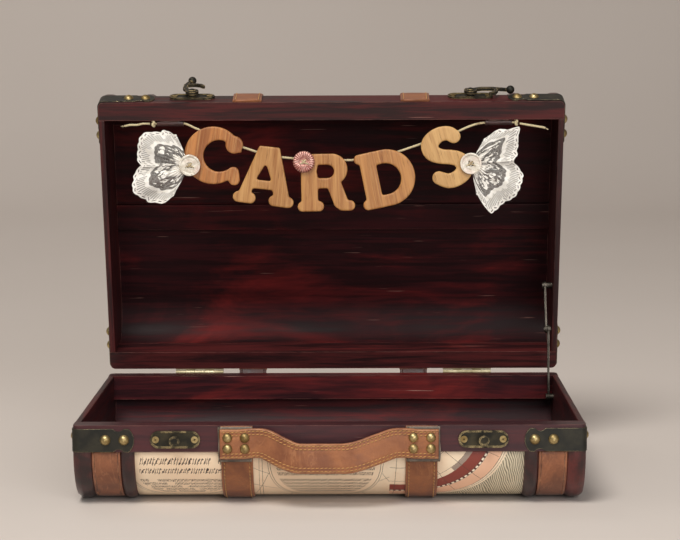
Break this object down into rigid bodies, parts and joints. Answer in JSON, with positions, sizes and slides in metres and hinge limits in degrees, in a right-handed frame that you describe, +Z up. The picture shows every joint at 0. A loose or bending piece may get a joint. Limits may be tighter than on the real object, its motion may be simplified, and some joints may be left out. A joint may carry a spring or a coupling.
{
  "type": "wedding card box",
  "caption": "Small wooden travel case standing open as a wedding card box, with leather straps and handle, brass latches and a wooden letter garland under its lid.",
  "frame": {"origin": "centre of the open case's bounding box, on the table under it", "axes": "+X to the right of a viewer facing the latches and handle, -Y towards that viewer, +Z up"},
  "size_m": [0.4078, 0.3186, 0.3312],
  "materials": {
    "plum_wood": "satin, rubbed through to red-brown in patches",
    "dark_wood": "satin, worn along the crowns",
    "printed_paper": "matt printed paper, varnished",
    "creased_leather": "matt, creased",
    "tan_leather": "satin, stitched",
    "aged_bronze": "aged, brass showing along the edges",
    "brass": "worn satin",
    "steel": "satin",
    "dark_leather": "matt",
    "hemp": "matt twisted cord",
    "honey_wood": "satin",
    "pale_wood": "satin",
    "lace": "sheer",
    "pearl": "pearly",
    "rose_copper": "pearly, ribbed"
  },
  "bodies": {
    "base": {"base_front_rail": "plum_wood", "base_back_rail": "plum_wood", "base_end_left": "plum_wood", "base_end_right": "plum_wood", "base_shell_front": "plum_wood", "base_shell_back": "plum_wood", "base_batten": "plum_wood", "base_print_panel": "printed_paper", "base_ribs": "dark_wood", "base_mouldings": "dark_wood", "base_patches": "creased_leather", "base_strap_left": "tan_leather", "base_strap_right": "tan_leather", "base_brackets": "aged_bronze", "base_tacks": "brass", "handle_band": "tan_leather", "handle_tacks": "brass", "keeper_plates": "aged_bronze", "keeper_studs": "brass", "keeper_screws": "brass", "hinge_leaves_base": "brass", "hinge_pins": "brass", "hinge_screws_base": "brass", "stay_screw_base": "steel", "strap_bridges": "tan_leather"},
    "lid": {"lid_front_rail": "plum_wood", "lid_back_rail": "plum_wood", "lid_end_left": "plum_wood", "lid_end_right": "plum_wood", "lid_shell_front": "plum_wood", "lid_shell_back": "plum_wood", "lid_batten": "plum_wood", "lid_print_panel": "printed_paper", "lid_ribs": "dark_wood", "lid_mouldings": "dark_wood", "lid_patches": "creased_leather", "lid_strap_left": "tan_leather", "lid_strap_right": "tan_leather", "lid_brackets": "aged_bronze", "lid_tacks": "brass", "latch_plates": "aged_bronze", "latch_screws": "brass", "hinge_leaves_lid": "brass", "hinge_screws_lid": "brass", "stay_screw_lid": "steel", "cord_sleeves": "dark_leather"},
    "hook_left": {"latch_hook_left": "aged_bronze"},
    "hook_right": {"latch_hook_right": "aged_bronze"},
    "stay_lower": {"stay_lower_link": "steel"},
    "stay_upper": {"stay_upper_link": "steel"},
    "garland": {"garland_cord": "hemp", "garland_knots": "hemp", "letter_c": "honey_wood", "letter_a": "honey_wood", "letter_r": "honey_wood", "letter_d": "honey_wood", "letter_s": "pale_wood", "lace_bows": "lace", "pearl_buttons": "pearl", "rose_button": "rose_copper"}
  },
  "joints": [
    {"name": "lid_hinge", "type": "hinge", "parent": "base", "child": "lid", "pos_m": [0, 0.1054, 0.0662], "axis": [1, 0, 0], "range_deg": [0, 75.9], "deforming": ["strap_bridges"]},
    {"name": "left_hook_turn", "type": "hinge", "parent": "lid", "child": "hook_left", "pos_m": [-0.12, 0.05909, 0.31378], "axis": [0, -0.2436, 0.9699], "range_deg": [-180, 20]},
    {"name": "right_hook_turn", "type": "hinge", "parent": "lid", "child": "hook_right", "pos_m": [0.12, 0.05909, 0.31378], "axis": [0, -0.2436, 0.9699], "range_deg": [-90, 90]},
    {"name": "lower_stay_turn", "type": "hinge", "parent": "base", "child": "stay_lower", "pos_m": [0.1908, 0.078, 0.048], "axis": [1, 0, 0], "range_deg": [0, 103.3]},
    {"name": "upper_stay_turn", "type": "hinge", "parent": "lid", "child": "stay_upper", "pos_m": [0.1888, 0.09993, 0.14463], "axis": [1, 0, 0], "range_deg": [-67.5, 0]},
    {"name": "garland_swing", "type": "hinge", "parent": "lid", "child": "garland", "pos_m": [0, 0.05097, 0.29194], "axis": [1, 0, 0], "range_deg": [-24, 26]}
  ],
  "couplings": [
    {"joint": "lower_stay_turn", "follows": "lid_hinge", "ratio": 1.3543},
    {"joint": "upper_stay_turn", "follows": "lid_hinge", "ratio": -0.8833}
  ]
}
